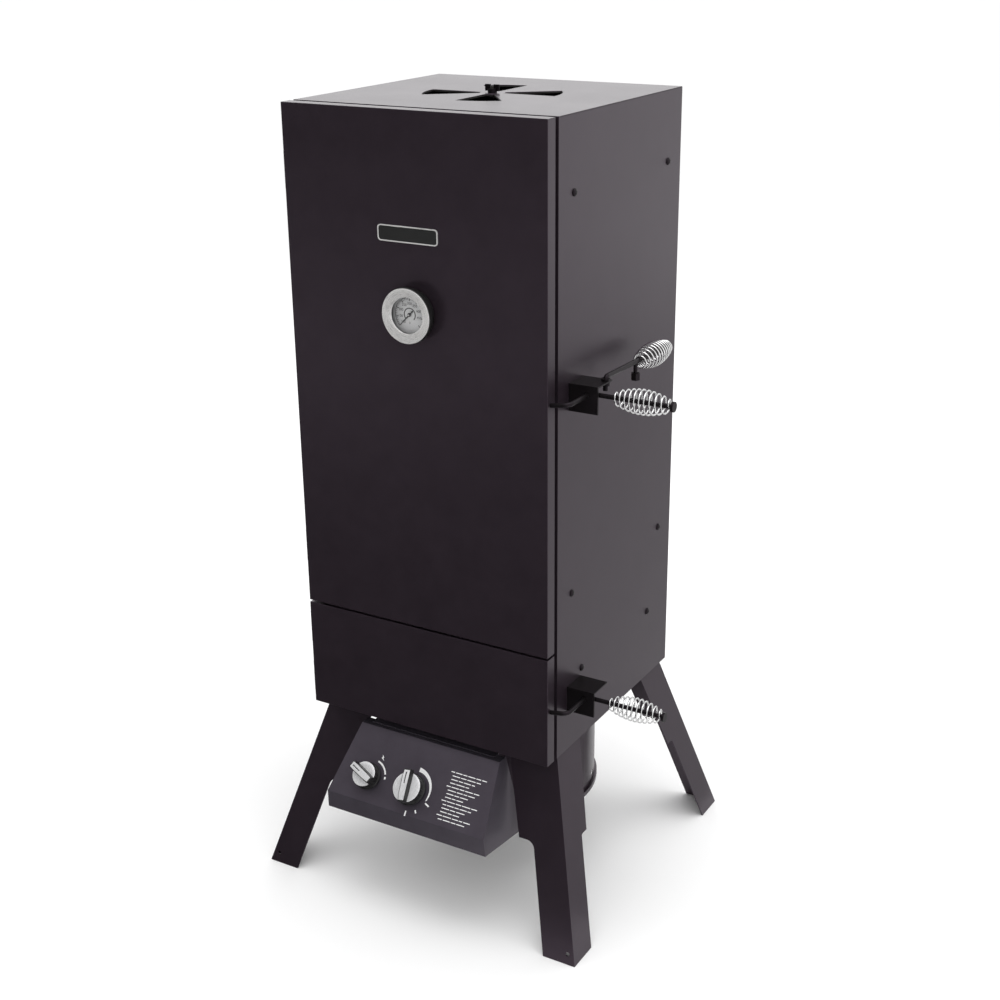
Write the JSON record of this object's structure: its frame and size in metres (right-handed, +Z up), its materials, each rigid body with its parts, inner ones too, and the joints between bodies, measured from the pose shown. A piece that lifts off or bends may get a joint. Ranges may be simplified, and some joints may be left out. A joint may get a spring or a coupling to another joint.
{
  "type": "gas cabinet smoker",
  "caption": "Upright gas smoker cabinet on splayed legs, with hinged doors, spring-grip latches, grates, pans, burner, control panel and pinwheel damper.",
  "frame": {"origin": "on the ground, at the centre of the rectangle between the four feet", "axes": "+Z up, the doors face -Y, +X to the right of a person facing the doors"},
  "size_m": [0.626, 0.5418, 1.1913],
  "materials": {
    "black_coat": "satin black powder coat",
    "black_hardware": "black plated or painted steel",
    "chrome_wire": "bright plated wire",
    "stainless": "brushed stainless steel",
    "galvanised": "dull zinc-coated steel",
    "enamel": "glossy black enamel with light speckle",
    "cast_burner": "cast iron",
    "brass": "plain brass",
    "gasket": "woven high-temperature gasket",
    "ceramic": "white ceramic",
    "black_plastic": "black moulded plastic",
    "silver_knob": "silver cap over a black moulded skirt",
    "lead_cover": "black silicone sleeve",
    "glass": "clear",
    "dial": "light grey printed dial",
    "needle": "black",
    "badge": "plain black plate with a bright rim"
  },
  "bodies": {
    "cabinet": {"burner_bracket": "galvanised", "burner_drum": "black_coat", "burner_head": "cast_burner", "burner_venturi": "galvanised", "cabinet_back": "black_coat", "cabinet_divider": "black_coat", "cabinet_floor": "black_coat", "cabinet_left_side": "black_coat", "cabinet_right_side": "black_coat", "cabinet_top": "black_coat", "control_panel": "black_coat", "cooking_grate_1": "chrome_wire", "cooking_grate_2": "chrome_wire", "cooking_grate_3": "chrome_wire", "cooking_grate_4": "chrome_wire", "door_seals": "gasket", "floor_bolts": "black_hardware", "gas_inlet": "brass", "gas_valve": "brass", "grate_rack_left": "black_hardware", "grate_rack_right": "black_hardware", "hinge_fixed_leaves": "black_hardware", "hinge_pins": "stainless", "igniter_body": "black_plastic", "igniter_electrode": "ceramic", "ignition_lead": "lead_cover", "leg_front_left": "black_coat", "leg_front_right": "black_coat", "leg_rear_left": "black_coat", "leg_rear_right": "black_coat", "lower_latch_bracket": "black_hardware", "side_screws": "black_hardware", "tray_supports": "black_hardware", "upper_latch_bracket": "black_hardware", "water_pan": "enamel", "wood_chip_tray": "enamel"},
    "upper_door": {"upper_door_shell": "black_coat", "upper_door_liner": "black_coat", "upper_door_hinge_leaves": "black_hardware", "gauge_housing": "black_hardware", "gauge_bezel": "stainless", "gauge_dial": "dial", "gauge_glass": "glass", "gauge_probe": "stainless", "name_plate": "badge"},
    "needle": {"gauge_needle": "needle"},
    "lower_door": {"lower_door_shell": "black_coat", "lower_door_liner": "black_coat", "lower_door_hinge_leaves": "black_hardware"},
    "upper_latch": {"upper_latch_rod": "black_hardware", "upper_latch_coil": "chrome_wire"},
    "lower_latch": {"lower_latch_rod": "black_hardware", "lower_latch_coil": "chrome_wire"},
    "spring_lever": {"lever_rod": "black_hardware", "lever_coil": "chrome_wire"},
    "damper": {"damper_disc": "black_coat", "damper_knob": "black_hardware"},
    "gas_stem": {"gas_stem": "stainless"},
    "gas_knob": {"gas_knob": "silver_knob"},
    "igniter_knob": {"igniter_knob": "silver_knob"}
  },
  "joints": [
    {"name": "upper_door_swing", "type": "hinge", "parent": "cabinet", "child": "upper_door", "pos_m": [-0.208, -0.183, 0.816], "axis": [0, 0, -1], "range_deg": [0, 115]},
    {"name": "lower_door_swing", "type": "hinge", "parent": "cabinet", "child": "lower_door", "pos_m": [-0.208, -0.183, 0.366], "axis": [0, 0, -1], "range_deg": [0, 115]},
    {"name": "upper_latch_turn", "type": "hinge", "parent": "cabinet", "child": "upper_latch", "pos_m": [0.23, -0.147, 0.82], "axis": [0, 1, 0], "range_deg": [0, 90]},
    {"name": "lower_latch_turn", "type": "hinge", "parent": "cabinet", "child": "lower_latch", "pos_m": [0.23, -0.147, 0.371], "axis": [0, 1, 0], "range_deg": [0, 90]},
    {"name": "lever_swing", "type": "hinge", "parent": "cabinet", "child": "spring_lever", "pos_m": [0.24, -0.114, 0.832], "axis": [0, 0, -1], "range_deg": [0, 90]},
    {"name": "damper_turn", "type": "hinge", "parent": "cabinet", "child": "damper", "pos_m": [0, 0.005, 1.18], "axis": [0, 0, 1], "range_deg": [0, 45]},
    {"name": "needle_turn", "type": "hinge", "parent": "upper_door", "child": "needle", "pos_m": [0, -0.2166, 0.916], "axis": [0, 1, 0], "range_deg": [0, 270], "stiffness_Nm_per_rad": 0.001, "springref_deg": -2.86},
    {"name": "gas_stem_turn", "type": "hinge", "parent": "cabinet", "child": "gas_stem", "pos_m": [0, -0.24977, 0.20789], "axis": [0, 0.7481, -0.6635], "range_deg": [0, 150]},
    {"name": "gas_knob_push", "type": "slide", "parent": "gas_stem", "child": "gas_knob", "axis": [0, 0.7481, -0.6635], "range_m": [0, 0.003], "stiffness_N_per_m": 1500, "springref_m": -0.001},
    {"name": "igniter_turn", "type": "hinge", "parent": "cabinet", "child": "igniter_knob", "pos_m": [-0.076, -0.24977, 0.20789], "axis": [0, 0.7481, -0.6635], "range_deg": [0, 90], "stiffness_Nm_per_rad": 0.05, "springref_deg": -11.46}
  ]
}
